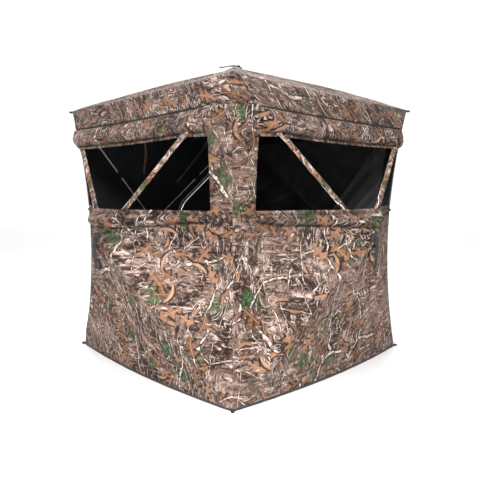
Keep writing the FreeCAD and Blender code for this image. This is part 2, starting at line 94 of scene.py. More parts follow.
world = bpy.data.worlds.new("studio")
world.use_nodes = True
sky = world.node_tree
sky.nodes["Background"].inputs["Color"].default_value = (1, 1, 1, 1)
toward = sky.nodes.new("ShaderNodeVectorMath")
toward.operation = "DOT_PRODUCT"
toward.inputs[1].default_value = (-0.69, 0.67, 0.27)
sky.links.new(sky.nodes.new("ShaderNodeTexCoord").outputs["Generated"], toward.inputs[0])
glow = sky.nodes.new("ShaderNodeMapRange")
for key, value in {"From Min": 0.35, "From Max": 0.82, "To Min": 0.20, "To Max": 1.06}.items():
    glow.inputs[key].default_value = value
sky.links.new(toward.outputs["Value"], glow.inputs["Value"])
sky.links.new(glow.outputs["Result"], sky.nodes["Background"].inputs["Strength"])
bpy.context.scene.world = world
bpy.context.scene.view_settings.view_transform = "Standard"

floor_mesh = bpy.data.meshes.new("floor")
floor_build = bmesh.new()
bmesh.ops.create_grid(floor_build, x_segments=1, y_segments=1, size=30)
floor_build.to_mesh(floor_mesh)
floor_build.free()
floor = bpy.data.objects.new("floor", floor_mesh)
bpy.context.collection.objects.link(floor)
floor.location.z = -0.0006
floor_finish = bpy.data.materials.new("pale_floor")
floor_finish.use_nodes = True
floor_shader = floor_finish.node_tree.nodes["Principled BSDF"]
floor_shader.inputs["Base Color"].default_value = FLOOR_GREY
floor_shader.inputs["Roughness"].default_value = 0.9
floor_mesh.materials.append(floor_finish)

# ---- Woodland print ----------------------------------------------------------------------------
# The shell's cloth: polyester printed with bark, twigs, oak and willow leaves and pine needles, and
# coated black on the inside. The print is a shader node group that each cloth piece lays out by its
# own UV map, in metres along the cloth.


def place_node(tree, kind, wires=(), **settings):
    """A shader node with its settings and inputs; an input is a value or the socket that feeds it."""
    made = tree.nodes.new(kind)
    for key, value in settings.items():
        setattr(made, key, value)
    for key, value in dict(wires).items():
        if isinstance(value, bpy.types.NodeSocket):
            tree.links.new(value, made.inputs[key])
        else:
            made.inputs[key].default_value = value
    return made


def sum_up(tree, operation, a, b=0.0, c=0.0):
    """The value of a Math node."""
    return place_node(tree, "ShaderNodeMath", {0: a, 1: b, 2: c}, operation=operation).outputs[0]


def times(tree, a, b):
    """The product of two values."""
    return sum_up(tree, "MULTIPLY", a, b)


def noise_value(tree, where, scale, detail=2.0, roughness=0.5, distortion=0.0):
    """The value of a Noise node."""
    return place_node(
        tree, "ShaderNodeTexNoise",
        {"Vector": where, "Scale": scale, "Detail": detail, "Roughness": roughness,
         "Distortion": distortion},
    ).outputs["Fac"]


def fade(tree, value, low, high):
    """0 below low and 1 above high, smooth between."""
    ramp = place_node(
        tree, "ShaderNodeMapRange", {"Value": value, "From Min": low, "From Max": high},
        interpolation_type="SMOOTHSTEP",
    )
    return ramp.outputs["Result"]


def tint(tree, factor, low, high):
    """A colour between low and high by factor."""
    mix = place_node(tree, "ShaderNodeMix", {"Factor": factor}, data_type="RGBA")
    for socket, value in ((mix.inputs[6], low), (mix.inputs[7], high)):
        if isinstance(value, bpy.types.NodeSocket):
            tree.links.new(value, socket)
        else:
            socket.default_value = (*value, 1)
    return mix.outputs[2]


def new_group(name, inputs, outputs):
    """An empty shader node group with its input and output nodes."""
    group = bpy.data.node_groups.new(name, "ShaderNodeTree")
    for label, kind in inputs:
        group.interface.new_socket(label, in_out="INPUT", socket_type=kind)
    for label, kind in outputs:
        group.interface.new_socket(label, in_out="OUTPUT", socket_type=kind)
    return group, group.nodes.new("NodeGroupInput"), group.nodes.new("NodeGroupOutput")


def leaf_cells(tree, where, seed, spacing, reach):
    """Cells that each hold one leaf: its own place along (-1 to 1) and across it, and a random colour."""
    shifted = place_node(tree, "ShaderNodeVectorMath", {0: where, 1: (seed, 1.7 * seed, 0)}, operation="ADD")
    cells = place_node(
        tree, "ShaderNodeTexVoronoi",
        {"Vector": shifted.outputs[0], "Scale": 1 / spacing, "Randomness": 0.72}, voronoi_dimensions="2D",
    )
    offset = place_node(
        tree, "ShaderNodeVectorMath", {0: shifted.outputs[0], 1: cells.outputs["Position"]},
        operation="SUBTRACT",
    )
    parts = place_node(tree, "ShaderNodeSeparateColor", {"Color": cells.outputs["Color"]})
    turn = times(tree, parts.outputs["Red"], 2 * math.pi)
    turned = place_node(
        tree, "ShaderNodeVectorRotate", {"Vector": offset.outputs[0], "Angle": turn}, rotation_type="Z_AXIS"
    )
    scaled = place_node(
        tree, "ShaderNodeVectorMath", {0: turned.outputs[0], "Scale": 1 / reach}, operation="SCALE"
    )
    local = place_node(tree, "ShaderNodeSeparateXYZ", {"Vector": scaled.outputs[0]})
    return local.outputs["X"], local.outputs["Y"], parts.outputs["Green"], parts.outputs["Blue"]


def leaf_shape(tree, along, across, width, lobes, curve):
    """Mask of a leaf outline, and how far across the leaf a point is (0 at the midrib, 1 at the edge)."""
    bent = sum_up(tree, "MULTIPLY_ADD", times(tree, along, along), curve, across)
    body = sum_up(tree, "SUBTRACT", 1.0, times(tree, along, along))
    body = sum_up(tree, "POWER", sum_up(tree, "MAXIMUM", body, 0.0001), 0.75)
    if lobes:
        wave = sum_up(tree, "SINE", times(tree, along, lobes))
        body = times(tree, body, sum_up(tree, "MULTIPLY_ADD", wave, 0.42, 0.62))
    half = times(tree, body, width)
    share = sum_up(tree, "DIVIDE", sum_up(tree, "ABSOLUTE", bent), half)
    inside = sum_up(tree, "SUBTRACT", 1.0, fade(tree, share, 0.90, 1.06))
    return inside, share, bent


def lay_leaves(tree, where, under, seed, spacing, reach, width, lobes, curve, share_kept, dark, light):
    """Leaves laid over a colour, each with a shadow on one side, a pale midrib and dark veins."""
    along, across, chance, shade = leaf_cells(tree, where, seed, spacing, reach)
    kept = sum_up(tree, "LESS_THAN", chance, share_kept)
    across_shadow = sum_up(tree, "ADD", across, 0.16)
    along_shadow = sum_up(tree, "ADD", along, 0.06)
    shadow, _, _ = leaf_shape(tree, along_shadow, across_shadow, width * 1.1, lobes, curve)
    out = tint(tree, times(tree, times(tree, shadow, kept), 0.85), under, (0.010, 0.007, 0.006))
    inside, edge, bent = leaf_shape(tree, along, across, width, lobes, curve)
    grain = noise_value(tree, where, 42.0, 3.0, 0.7)
    mix = sum_up(tree, "ADD", times(tree, shade, 0.40), times(tree, grain, 0.90))
    blade = tint(tree, fade(tree, mix, 0.38, 0.92), dark, light)
    veins = sum_up(
        tree, "SINE",
        sum_up(tree, "ADD", times(tree, along, 26.0), times(tree, edge, 5.0)),
    )
    blade = tint(tree, times(tree, fade(tree, veins, 0.55, 1.0), 0.4), blade, dark)
    rib = sum_up(tree, "SUBTRACT", 1.0, fade(tree, sum_up(tree, "ABSOLUTE", bent), 0.010, 0.035))
    blade = tint(tree, times(tree, rib, 0.7), blade, (0.45, 0.285, 0.175))
    rim = fade(tree, edge, 0.72, 0.98)
    blade = tint(tree, times(tree, rim, 0.55), blade, tuple(v * 0.45 for v in dark))
    return tint(tree, times(tree, inside, kept), out, blade)


def lay_branches(tree, where, under, seed, spacing, thick, bend, kept, colour):
    """Long crooked branches along the edges of wide cells, lit on one side and dark on the other."""
    shifted = place_node(tree, "ShaderNodeVectorMath", {0: where, 1: (seed, -seed, 0)}, operation="ADD")
    wander = place_node(
        tree, "ShaderNodeTexNoise",
        {"Vector": shifted.outputs[0], "Scale": 5.0, "Detail": 3.0, "Roughness": 0.55},
    )
    shaken = place_node(
        tree, "ShaderNodeVectorMath", {0: wander.outputs["Color"], 1: (bend, bend, 0), 2: shifted.outputs[0]},
        operation="MULTIPLY_ADD",
    )
    lean = place_node(
        tree, "ShaderNodeMapping",
        {"Vector": shaken.outputs[0], "Rotation": (0, 0, 0.35 + seed), "Scale": (1.0, 0.42, 1)},
    )
    edges = place_node(
        tree, "ShaderNodeTexVoronoi", {"Vector": lean.outputs[0], "Scale": 1 / spacing, "Randomness": 1.0},
        voronoi_dimensions="2D", feature="DISTANCE_TO_EDGE",
    ).outputs["Distance"]
    gap = times(tree, edges, spacing)
    present = noise_value(tree, shifted.outputs[0], 3.1, 1.0)
    mask = fade(tree, present, kept, kept + 0.03)
    shadow = sum_up(tree, "SUBTRACT", 1.0, fade(tree, gap, thick * 1.2, thick * 2.6))
    out = tint(tree, times(tree, times(tree, shadow, mask), 0.8), under, (0.012, 0.008, 0.007))
    core = sum_up(tree, "SUBTRACT", 1.0, fade(tree, gap, thick * 0.75, thick * 1.1))
    bark = noise_value(tree, where, 52.0)
    wood = tint(tree, fade(tree, bark, 0.42, 0.58), tuple(v * 0.28 for v in colour), colour)
    return tint(tree, times(tree, core, mask), out, wood)


def bark_streaks(tree, where, turn, scale, distortion):
    """Shaggy bark: a noise drawn out along one direction."""
    drawn = place_node(tree, "ShaderNodeMapping", {"Vector": where, "Rotation": (0, 0, turn), "Scale": scale})
    return noise_value(tree, drawn.outputs[0], 1.0, 5.0, 0.68, distortion)


def woodland_print():
    """The printed pattern's colour, from a place on the cloth in metres."""
    group, given, result = new_group(
        "woodland_print", [("Vector", "NodeSocketVector")], [("Color", "NodeSocketColor")]
    )
    where = given.outputs["Vector"]

    def mark(under, pattern, low, high, strength, colour):
        return tint(group, times(group, fade(group, pattern, low, high), strength), under, colour)

    # Ground: soil and bark in wide patches, broken by shaggy streaks that run across and up the trunk.
    patches = noise_value(group, where, 4.6, 5.0, 0.62, 0.9)
    cover = tint(group, fade(group, patches, 0.38, 0.60), (0.030, 0.019, 0.015), (0.170, 0.118, 0.095))
    across = bark_streaks(group, where, 0.15, (9, 30, 1), 1.6)
    upright = bark_streaks(group, where, -0.3, (40, 10, 1), 1.3)
    which = fade(group, noise_value(group, where, 2.6, 2.0), 0.47, 0.53)
    streaks = place_node(
        group, "ShaderNodeMix", {"Factor": which, 2: across, 3: upright}, data_type="FLOAT"
    ).outputs[0]
    cover = mark(cover, streaks, 0.52, 0.60, 0.85, (0.42, 0.325, 0.280))
    cover = tint(group, fade(group, streaks, 0.60, 0.67), cover, (0.86, 0.75, 0.68))
    cover = mark(cover, streaks, 0.45, 0.38, 0.95, (0.010, 0.006, 0.005))
    # Litter: short crooked pale and dark marks, dense on the ground.
    litter = noise_value(group, where, 21.0, 4.0, 0.72, 2.4)
    cover = mark(cover, litter, 0.57, 0.61, 0.6, (0.50, 0.37, 0.29))
    cover = mark(cover, litter, 0.435, 0.39, 0.9, (0.008, 0.006, 0.005))
    # Curled bark: contour lines of a slow noise, in pale and dark pairs.
    slow = noise_value(group, where, 8.0, 2.0, 0.5, 0.7)
    rings = sum_up(group, "SINE", times(group, slow, 105.0))
    curled = fade(group, noise_value(group, where, 3.3, 1.0), 0.56, 0.61)
    broken = fade(group, noise_value(group, where, 28.0, 2.0), 0.42, 0.52)
    curled = times(group, curled, broken)
    cover = mark(cover, rings, 0.55, 0.95, curled, (0.52, 0.43, 0.37))
    cover = mark(cover, rings, -0.4, -0.9, curled, (0.014, 0.010, 0.009))
    # Clumps of green pine needles.
    clump = place_node(
        group, "ShaderNodeTexVoronoi", {"Vector": where, "Scale": 4.8, "Randomness": 1.0},
        voronoi_dimensions="2D",
    )
    clump_colour = place_node(group, "ShaderNodeSeparateColor", {"Color": clump.outputs["Color"]})
    spun = times(group, clump_colour.outputs["Red"], 3.1)
    needle_place = place_node(
        group, "ShaderNodeVectorRotate", {"Vector": where, "Angle": spun}, rotation_type="Z_AXIS"
    )
    fine = place_node(group, "ShaderNodeMapping", {"Vector": needle_place.outputs[0], "Scale": (190, 38, 1)})
    strokes = noise_value(group, fine.outputs[0], 1.0, 2.0, 0.5, 1.5)
    ragged = noise_value(group, where, 24.0, 3.0)
    near = sum_up(group, "ADD", clump.outputs["Distance"], times(group, ragged, 0.6))
    chosen = sum_up(group, "GREATER_THAN", clump_colour.outputs["Blue"], 0.52)
    green = times(group, sum_up(group, "SUBTRACT", 1.0, fade(group, near, 0.42, 0.60)), chosen)
    cover = tint(group, times(group, green, 0.4), cover, (0.020, 0.030, 0.014))
    needles = tint(group, fade(group, strokes, 0.52, 0.75), (0.018, 0.070, 0.018), (0.085, 0.215, 0.055))
    cover = tint(group, times(group, fade(group, strokes, 0.49, 0.55), green), cover, needles)
    # Branches and twigs, then leaves on top.
    dark_oak, light_oak = (0.072, 0.034, 0.020), (0.345, 0.190, 0.115)
    dark_willow, light_willow = (0.115, 0.056, 0.030), (0.475, 0.295, 0.195)
    cover = lay_branches(group, where, cover, 2.3, 0.105, 0.0016, 0.07, 0.40, (0.58, 0.47, 0.39))
    cover = lay_leaves(group, where, cover, 5.1, 0.068, 0.029, 0.33, 0, 0.25, 0.32, dark_oak, light_oak)
    cover = lay_branches(group, where, cover, 4.6, 0.190, 0.0022, 0.10, 0.47, (0.66, 0.56, 0.49))
    cover = lay_leaves(group, where, cover, 3.2, 0.110, 0.048, 0.62, 8.5, 0.18, 0.34, dark_oak, light_oak)
    cover = lay_branches(group, where, cover, 0.4, 0.34, 0.0036, 0.13, 0.50, (0.74, 0.65, 0.58))
    cover = lay_leaves(group, where, cover, 0.9, 0.150, 0.056, 0.70, 9.5, 0.10, 0.32, dark_oak, light_oak)
    cover = lay_leaves(group, where, cover, 7.7, 0.160, 0.052, 0.18, 0, -0.30, 0.30, dark_willow, light_willow)
    darker = place_node(group, "ShaderNodeMix", {"Factor": 1.0}, data_type="RGBA", blend_type="MULTIPLY")
    group.links.new(cover, darker.inputs[6])
    darker.inputs[7].default_value = (0.80, 0.77, 0.77, 1)
    group.links.new(darker.outputs[2], result.inputs["Color"])
    return group


PRINT = woodland_print()


def weave_group():
    """Plain weave of fine yarn: a Height for a Bump node, from a place in metres."""
    group, given, result = new_group(
        "plain_weave", [("Vector", "NodeSocketVector"), ("Yarns", "NodeSocketFloat")],
        [("Height", "NodeSocketFloat")],
    )
    scaled = place_node(
        group, "ShaderNodeVectorMath", {0: given.outputs["Vector"], "Scale": given.outputs["Yarns"]},
        operation="SCALE",
    )
    spot = place_node(group, "ShaderNodeSeparateXYZ", {"Vector": scaled.outputs[0]})
    warp = sum_up(group, "SINE", spot.outputs["X"])
    weft = sum_up(group, "SINE", spot.outputs["Y"])
    group.links.new(times(group, warp, weft), result.inputs["Height"])
    return group


WEAVE = weave_group()


YARNS = 2600.0    # turns of the weave's sine for each metre


def new_finish(name):
    """A new material with its node tree and its shader."""
    finish = bpy.data.materials.new(name)
    finish.use_nodes = True
    return finish, finish.node_tree, finish.node_tree.nodes["Principled BSDF"]


def cloth_finish(name, colour, roughness, sheen, crease=0.0035):
    """A cloth material with its weave and its creases; colour is a function that builds its colour."""
    finish, tree, shader = new_finish(name)
    where = place_node(tree, "ShaderNodeUVMap", uv_map="cloth").outputs["UV"]
    tree.links.new(colour(tree, where), shader.inputs["Base Color"])
    shader.inputs["Roughness"].default_value = roughness
    shader.inputs["Sheen Weight"].default_value = sheen
    shader.inputs["Specular IOR Level"].default_value = 0.16
    crumple = noise_value(tree, where, 17.0, 4.0, 0.55, 0.9)
    creases = place_node(tree, "ShaderNodeBump", {"Height": crumple, "Distance": crease, "Strength": 0.55})
    weave = place_node(tree, "ShaderNodeGroup", node_tree=WEAVE)
    tree.links.new(where, weave.inputs["Vector"])
    weave.inputs["Yarns"].default_value = YARNS
    yarn = place_node(
        tree, "ShaderNodeBump",
        {"Height": weave.outputs["Height"], "Distance": 0.0002, "Strength": 0.25,
         "Normal": creases.outputs["Normal"]},
    )
    tree.links.new(yarn.outputs["Normal"], shader.inputs["Normal"])
    return finish


def printed(tree, where):
    """The woodland print: faded in patches, with painted light low on the walls, painted shade high up and painted
    shade in its folds.
    """
    ink = place_node(tree, "ShaderNodeGroup", node_tree=PRINT)
    tree.links.new(where, ink.inputs["Vector"])
    wear = noise_value(tree, where, 1.9, 3.0)
    patches = times(tree, fade(tree, wear, 0.45, 0.75), 0.10)
    faded = tint(tree, patches, ink.outputs["Color"], (0.24, 0.18, 0.15))
    # Painted light and shade by height: the print is lighter below 0.66 on the UV's height and darker above 0.90,
    # standing in for light that falls stronger low on the walls.
    height = place_node(tree, "ShaderNodeSeparateXYZ", {"Vector": where}).outputs["Y"]
    painted_height_light = tint(tree, fade(tree, height, 0.66, 0.90), (1.18, 1.16, 1.16), (0.76, 0.745, 0.75))
    wear_and_height_light = place_node(
        tree, "ShaderNodeMix", {"Factor": 1.0, 6: faded, 7: painted_height_light}, data_type="RGBA", blend_type="MULTIPLY"
    )
    # Painted shade: the print goes nearly black where the fold attribute marks a crease, standing in for shadow in
    # the folds.
    crease_shade = place_node(tree, "ShaderNodeAttribute", attribute_name="fold").outputs["Fac"]
    return tint(tree, times(tree, crease_shade, 0.82), wear_and_height_light.outputs[2], (0.012, 0.009, 0.008))


def coated(tree, where):
    """Black coating, a shade greyer where it is rubbed."""
    rub = noise_value(tree, where, 6.0, 5.0)
    return tint(tree, fade(tree, rub, 0.35, 0.75), (0.0120, 0.0132, 0.0156), (0.0215, 0.0235, 0.0275))


PRINTED_CLOTH = cloth_finish("printed_cloth", printed, 0.9, 0.02)
BLACK_COATING = cloth_finish("black_coating", coated, 0.58, 0.05)

# ---- Wall cloth --------------------------------------------------------------------------------
# Each wall is a low pyramid of cloth pulled out by its hub: it creases over the four poles, sags a
# little inwards between them, pulls in along the corner seams and bows out at the ground hem. The
# wall is sewn from a lower panel, bands above and below the window, and a corner post.

CLOTH = 0.0012       # thickness
CAP_DROP = 0.002     # hub cap's rim below the wall's apex
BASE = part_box("front_lower_panel")[1][0]
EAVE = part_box("roof_panel")[1][0]
EAVE_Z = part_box("roof_panel")[0][2] + 0.002
HUB_Z = sum(corner[2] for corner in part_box("front_hub")) / 2
APEX = CAP_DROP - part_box("front_hub_cap")[1][1]
WAIST_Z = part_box("front_window_sill")[0][2]
SILL_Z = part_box("front_window_sill")[1][2]
OPENING_TOP = next(
    opening["box_m"][1][2] for opening in frame["record"]["physics"]["openings"]
    if opening["name"] == "front_window_middle_high"
)
HEAD_Z = OPENING_TOP + 0.01
SEAM_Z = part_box("front_window_header")[1][2]
HEM_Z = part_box("ground_hem")[1][2]
BOW = -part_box("ground_hem")[0][1] - BASE
PINCH = 0.057        # a corner seam pulls in at half height
EAVE_DIP = 0.012     # an eave pulls in at mid wall
SAG = 0.036          # cloth sags between two poles
POST_WIDTH = 0.115
SEAM_STRIP = 0.022
WALL_TURN = {"front": 0, "right": 90, "back": 180, "left": 270}
WALL_SEED = {"front": 0.0, "right": 3.7, "back": 8.1, "left": 12.6}


def turned_to(wall):
    """The rotation from the front wall to another."""
    return Matrix.Rotation(math.radians(WALL_TURN[wall]), 3, "Z")


def seam_half(z):
    """Half the wall's width at a height, out to the corner seam."""
    share = min(max(z / EAVE_Z, 0), 1)
    return BASE + (EAVE - BASE) * share - PINCH * math.sin(math.pi * share) ** 0.85


def wall_depth(x, z):
    """How far the taut cloth stands out from the middle of the blind."""
    rise = z - HUB_Z
    top = rise / (EAVE_Z - HUB_Z)
    low = -rise / HUB_Z
    side = abs(x) / seam_half(z)
    for _ in range(3):
        side = abs(x) / seam_half(HUB_Z + rise / max(side, 0.05))
    share, next_share = sorted((top, low, side))[::-1][:2]
    share = max(share, 1e-4)
    if share == side:
        edge = seam_half(HUB_Z + rise / share)
    elif share == top:
        edge = EAVE - EAVE_DIP * (1 - min(x / share / EAVE, 1) ** 2)
    else:
        edge = BASE + BOW * max(1 - (x / share / BASE) ** 2, 0)
    share = min(share, 1)
    slack = SAG * (1 - max(next_share, 0) ** 2 / share**2) * 4 * share * (1 - share)
    return APEX + (edge - APEX) * share - slack


def wall_crumple(x, z, seed):
    """Loose folds: pleats that fan out from the hub, pulls along the seams, and slow waves."""
    away = math.hypot(x, z - HUB_Z)
    around = math.atan2(z - HUB_Z, x)
    ragged = noise.noise((math.cos(around), math.sin(around) + away * 4, seed))
    fan = 0.5 + 0.5 * math.sin(9 * around + 3 * ragged)
    pleats = 0.034 * min(away / 0.03, 1) ** 2 * math.exp(-away / 0.105) * fan**1.5
    edge = min(seam_half(z) - abs(x), z, EAVE_Z - z)
    held = min(max(edge / 0.05, 0), 1)
    waves = 0.007 * noise.noise((x * 3.1, z * 2.3, seed)) + 0.0035 * noise.noise((x * 9, z * 6, seed + 5))
    pulls = 0.0016 * noise.noise((x * 26 + z * 9, z * 13, seed + 9))
    gathered = min(away / 0.06, 1)
    return (pleats + (waves + pulls) * gathered) * held - 0.0006


def add_piece(name, build, materials):
    """A mesh object from a bmesh, with its materials."""
    mesh = bpy.data.meshes.new(name)
    build.to_mesh(mesh)
    build.free()
    for finish in materials:
        mesh.materials.append(finish)
    mesh.shade_smooth()
    piece = bpy.data.objects.new(name, mesh)
    bpy.context.collection.objects.link(piece)
    return piece


def back_with_coating(piece):
    """Gives the cloth its thickness, inwards, with the coating as the inner face."""
    shell = piece.modifiers.new("thickness", "SOLIDIFY")
    shell.thickness = CLOTH
    shell.offset = -1
    shell.material_offset = 1
    shell.material_offset_rim = 0


def flat_patch(left, right, low, high, step):
    """A flat grid of cloth in X and Z (kept in X and Y until it is hung) between its four edges."""
    build = bmesh.new()
    columns = max(2, round((right((low + high) / 2) - left((low + high) / 2)) / step))
    rows = max(2, round((high - low) / step))
    bmesh.ops.create_grid(build, x_segments=columns, y_segments=rows, size=0.5)
    for vert in build.verts:
        z = low + (high - low) * (vert.co.y + 0.5)
        vert.co = (left(z) + (right(z) - left(z)) * (vert.co.x + 0.5), z, 0)
    return build


def cut_outline(build, outline, keep_inside):
    """Cuts the flat patch along a closed outline and keeps one side of it."""
    for index, point in enumerate(outline):
        ahead = outline[(index + 1) % len(outline)]
        normal = Vector((ahead.y - point.y, point.x - ahead.x, 0))
        everything = build.verts[:] + build.edges[:] + build.faces[:]
        bmesh.ops.bisect_plane(build, geom=everything, plane_co=point, plane_no=normal, dist=1e-6)

    def within(place):
        inside = False
        for index, a in enumerate(outline):
            b = outline[index - 1]
            if (a.y > place.y) != (b.y > place.y):
                if place.x < (b.x - a.x) * (place.y - a.y) / (b.y - a.y) + a.x:
                    inside = not inside
        return inside

    gone = [face for face in build.faces if within(face.calc_center_median()) != keep_inside]
    bmesh.ops.delete(build, geom=gone, context="FACES")


SHADE_FOLD_REACH = 0.012    # a valley between places this far apart
SHADE_FOLD_DEEP = 0.0045    # and this deep is a fold darkened with painted shade
HALF_ROUND = 3.06     # cloth that goes round two walls, so that the print runs on from wall to wall


def lay_out(build, place):
    """The cloth's own UV map, in metres, from a function of each corner's position."""
    layer = build.loops.layers.uv.new("cloth")
    for face in build.faces:
        for loop in face.loops:
            loop[layer].uv = place(loop.vert.co)


def hang_on_wall(build, wall, relief, skew=0.0):
    """Lays the flat patch on the wall's surface, marks its folds for painted crease shade and turns it to its wall.
    """
    start = math.radians(WALL_TURN[wall]) / math.pi * HALF_ROUND
    lay_out(build, lambda spot: (start + spot.x + skew * spot.y, spot.y))
    # The fold attribute is the mask for painted shade in the valleys of the cloth's relief.
    fold = build.verts.layers.float.new("fold")

    def loose(x, z):
        return wall_crumple(x, z, WALL_SEED[wall]) + relief(x, z)

    for vert in build.verts:
        x, z = vert.co.x, vert.co.y
        out = loose(x, z)
        around = loose(x - SHADE_FOLD_REACH, z) + loose(x + SHADE_FOLD_REACH, z)
        around = around + loose(x, z - SHADE_FOLD_REACH) + loose(x, z + SHADE_FOLD_REACH)
        vert[fold] = min(max((around / 4 - out) / SHADE_FOLD_DEEP - 0.2, 0.0), 1.0)
        vert.co = (x, -(wall_depth(x, z) + out), z)
    bmesh.ops.transform(build, matrix=turned_to(wall).to_4x4(), verts=build.verts)


def no_relief(x, z):
    return 0.0


def follow_hub(piece):
    """Bakes the piece's placement into its mesh."""
    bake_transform(piece)


def wall_piece(name, wall, build, node, relief=no_relief, skew=0.0):
    """Hangs a cut patch as one sewn piece of the shell, in place of its CAD solid."""
    hang_on_wall(build, wall, relief, skew)
    piece = add_piece(name, build, [PRINTED_CLOTH, BLACK_COATING])
    back_with_coating(piece)
    follow_hub(piece)
    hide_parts(node)
    return piece


def left_seam(z):
    return -seam_half(z)


def right_seam(z):
    return seam_half(z)


# The door's outline in the left wall: two straight legs beside the poles, a rounded nose beside the
# hub, and the fold line near the back corner. Its band lies outside the opening.

DOOR_OFFSET = 0.064
DOOR_HINGE = 0.640
DOOR_ROUND = 0.265
DOOR_GAP = 0.0025
BAND = 0.036


def door_outline(offset, hinge, rounding, segments=9):
    """The outline as points in X and Z: lower corner, nose arc, upper corner."""
    up = Vector((-EAVE, EAVE_Z - HUB_Z)).normalized()
    down = Vector((-BASE - 0.0007, -HUB_Z)).normalized()
    upper_start = Vector((0, HUB_Z)) + Vector((-up.y, up.x)) * offset
    lower_start = Vector((0, HUB_Z)) + Vector((down.y, -down.x)) * offset
    gap = lower_start - upper_start
    turn = up.x * down.y - up.y * down.x
    nose = upper_start + up * ((gap.x * down.y - gap.y * down.x) / turn)
    half = up.angle(down) / 2
    tangent = rounding / math.tan(half)
    middle = nose + (up + down).normalized() * (rounding / math.sin(half))
    first = nose + down * tangent - middle
    last = nose + up * tangent - middle
    sweep = first.angle_signed(last)
    arc = [middle + Matrix.Rotation(-sweep * step / segments, 2) @ first for step in range(segments + 1)]
    upper = nose + up * ((hinge + nose.x) / -up.x)
    lower = nose + down * ((hinge + nose.x) / -down.x)
    return [Vector((p.x, p.y, 0)) for p in (lower, *arc, upper)]


def band_edge(segments=9):
    """The outer edge of the cloth band round the door."""
    return door_outline(DOOR_OFFSET - BAND, DOOR_HINGE + BAND, DOOR_ROUND + BAND, segments)


WALL_GRID = 0.0105

for wall in WALL_TURN:
    build = flat_patch(left_seam, right_seam, HEM_Z * 0.5, WAIST_Z, WALL_GRID)
    if wall == "left":
        cut_outline(build, band_edge(), False)
    wall_piece(f"{wall}_lower_cloth", wall, build, f"{wall}_lower_panel")

# Window bands: a straight turned hem beside the window, and beyond it loose cloth that puffs out
# over it, where the window's cover is drawn up behind the header or let down behind the sill.

HEM_STRIP = 0.024
BAND_GRID = 0.0065
UNDER_POST = 0.008    # a band's end that lies under the corner post


def tucked(x, z):
    """0 at the corner post, where a band is stitched behind it, and 1 from 45 mm away."""
    away = (seam_half(z) - POST_WIDTH - abs(x)) / 0.045
    return min(max(away, 0.0), 1.0) ** 0.6


def header_puff(x, z):
    """Loose roll over the window: a full puff above the straight hem, flat again at the skirt seam."""
    reach = (z - HEAD_Z - HEM_STRIP) / (SEAM_Z - HEAD_Z - HEM_STRIP)
    if SEAM_Z - z < 0.010:
        return -0.009 * min((SEAM_Z - z) / 0.004, 1)
    if reach <= 0:
        return -0.009 * max(0.0, 1 + reach * 3)
    uneven = 0.75 + 0.5 * noise.noise((x * 4.2, 0.3, 1.0)) + 0.25 * noise.noise((x * 17, z * 20, 4.0))
    puff = math.sin(math.pi * min(reach, 1) ** 0.55) ** 0.8
    return 0.030 * puff * uneven + 0.006 * noise.noise((x * 26 + z * 25, z * 30, 2.0)) * puff


def sill_fold(x):
    """Height of the crease below the sill's puff; it climbs towards the corner post."""
    wander = 0.012 * noise.noise((x * 3.3, 5.0, 9.0)) + 0.004 * noise.noise((x * 12, 6.0, 9.0))
    return 0.860 + wander + 0.045 * max(0.0, abs(x) / 0.6) ** 1.5


def sill_puff(x, z):
    """The let-down cover fills the cloth under the straight hem, down to a crease."""
    hem = SILL_Z - HEM_STRIP
    fold = sill_fold(x)
    if z > hem:
        return -0.004 * max(0.0, 1 - (z - hem) / HEM_STRIP * 3)
    if z < fold:
        return -0.010 * max(0.0, 1 - (fold - z) / 0.016) + 0.005 * noise.noise((x * 8, z * 16, 3.0))
    reach = (hem - z) / max(hem - fold, 0.005)
    uneven = 0.8 + 0.45 * noise.noise((x * 5.5, 0.8, 7.0)) + 0.2 * noise.noise((x * 19, z * 26, 6.0))
    return 0.027 * math.sin(math.pi * min(reach, 1)) ** 0.6 * uneven


def inner_post(side):
    """Edge of the corner post on one side of a wall, as a function of height."""
    return lambda z: side * (seam_half(z) - POST_WIDTH)


def banded(relief, side):
    """A band's relief, tucked in at the corner post and full at the far seam."""
    return lambda x, z: relief(x, z) * (tucked(x, z) if x * side > 0 else 1.0)


def post_relief(x, z):
    """The post's cloth lies over the bands' ends and is flat again at the corner seam."""
    return 0.0035 * min((seam_half(z) - abs(x)) / 0.02, 1)


for wall, side in (("front", 1), ("right", -1)):
    if side > 0:
        edges = (left_seam, lambda z: inner_post(1)(z) + UNDER_POST)
        strip = (left_seam, lambda z: SEAM_STRIP - seam_half(z))
        post_edges = (inner_post(1), right_seam)
    else:
        edges = (lambda z: inner_post(-1)(z) - UNDER_POST, right_seam)
        strip = (lambda z: seam_half(z) - SEAM_STRIP, right_seam)
        post_edges = (left_seam, inner_post(-1))
    width = 2 * EAVE - POST_WIDTH
    for part, node, cut, low, high, grid, flat_width, relief in (
        ("sill_cloth", f"{wall}_window_sill", edges, WAIST_Z, SILL_Z, BAND_GRID, width, banded(sill_puff, side)),
        ("header_cloth", f"{wall}_window_header", edges, HEAD_Z, SEAM_Z, BAND_GRID, width, banded(header_puff, side)),
        ("seam_strip", f"{wall}_window_header", strip, SILL_Z, HEAD_Z, 0.008, SEAM_STRIP, no_relief),
        ("post_cloth", "corner_post", post_edges, WAIST_Z, SEAM_Z, 0.0075, POST_WIDTH, post_relief),
    ):
        wall_piece(f"{wall}_{part}", wall, flat_patch(*cut, low, high, grid), node, relief)

# Walls with the window shut: one upper panel from the waist seam to the skirt.

for wall in ("back", "left"):
    build = flat_patch(left_seam, right_seam, WAIST_Z, SEAM_Z, WALL_GRID)
    if wall == "left":
        cut_outline(build, band_edge(), False)
    wall_piece(f"{wall}_upper_cloth", wall, build, f"{wall}_upper_panel")

# Roof skirt: the roof's cloth turned down over the eaves, a strip to each wall, stitched to the wall.

